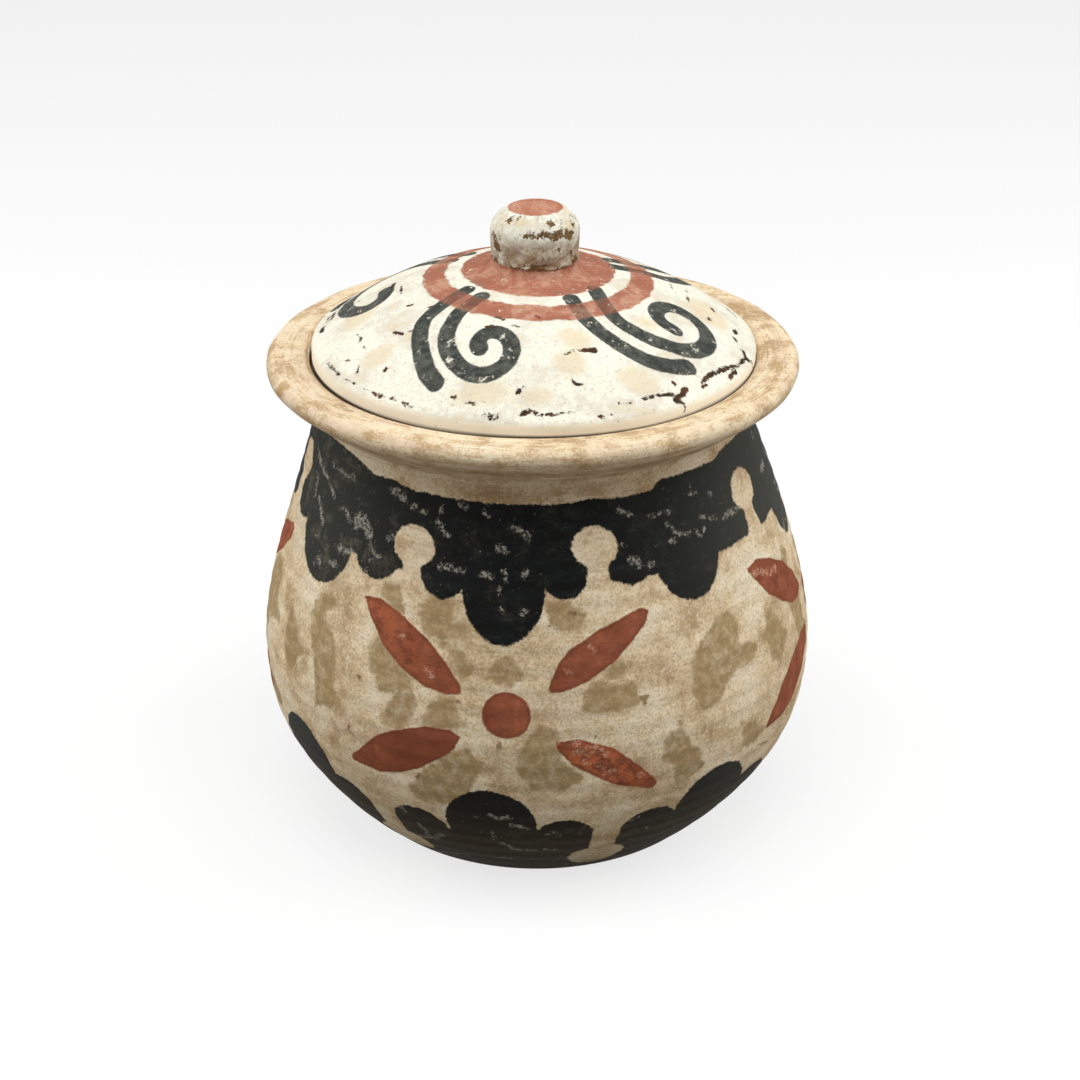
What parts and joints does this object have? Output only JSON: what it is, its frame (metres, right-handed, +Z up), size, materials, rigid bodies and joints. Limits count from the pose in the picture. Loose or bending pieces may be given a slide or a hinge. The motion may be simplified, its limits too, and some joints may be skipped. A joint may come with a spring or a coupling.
{
  "type": "lidded earthenware jar",
  "caption": "Round-bellied painted earthenware jar with a flared rim and a domed lift-off lid that drops into a gallery, with a ball knob.",
  "frame": {"origin": "centre of the flat base that the jar stands on", "axes": "+Z up along the axis of the pot, the way the lid lifts off; -Y is the side with the whole rosette"},
  "size_m": [0.2, 0.2, 0.227],
  "materials": {
    "painted_jar": "matt cream slip with brushed black and terracotta ornament, worn and rubbed",
    "painted_lid": "matt chalky white with charcoal scrolls and terracotta rings, chipped to brown clay",
    "painted_knob": "matt chalky white with a terracotta top, flaked to brown clay"
  },
  "bodies": {
    "jar": {"jar": "painted_jar"},
    "lid": {"lid": "painted_lid", "knob": "painted_knob"}
  },
  "joints": [
    {"name": "lid_lift", "type": "slide", "parent": "jar", "child": "lid", "axis": [0, 0, 1], "range_m": [0, 0.12]}
  ]
}
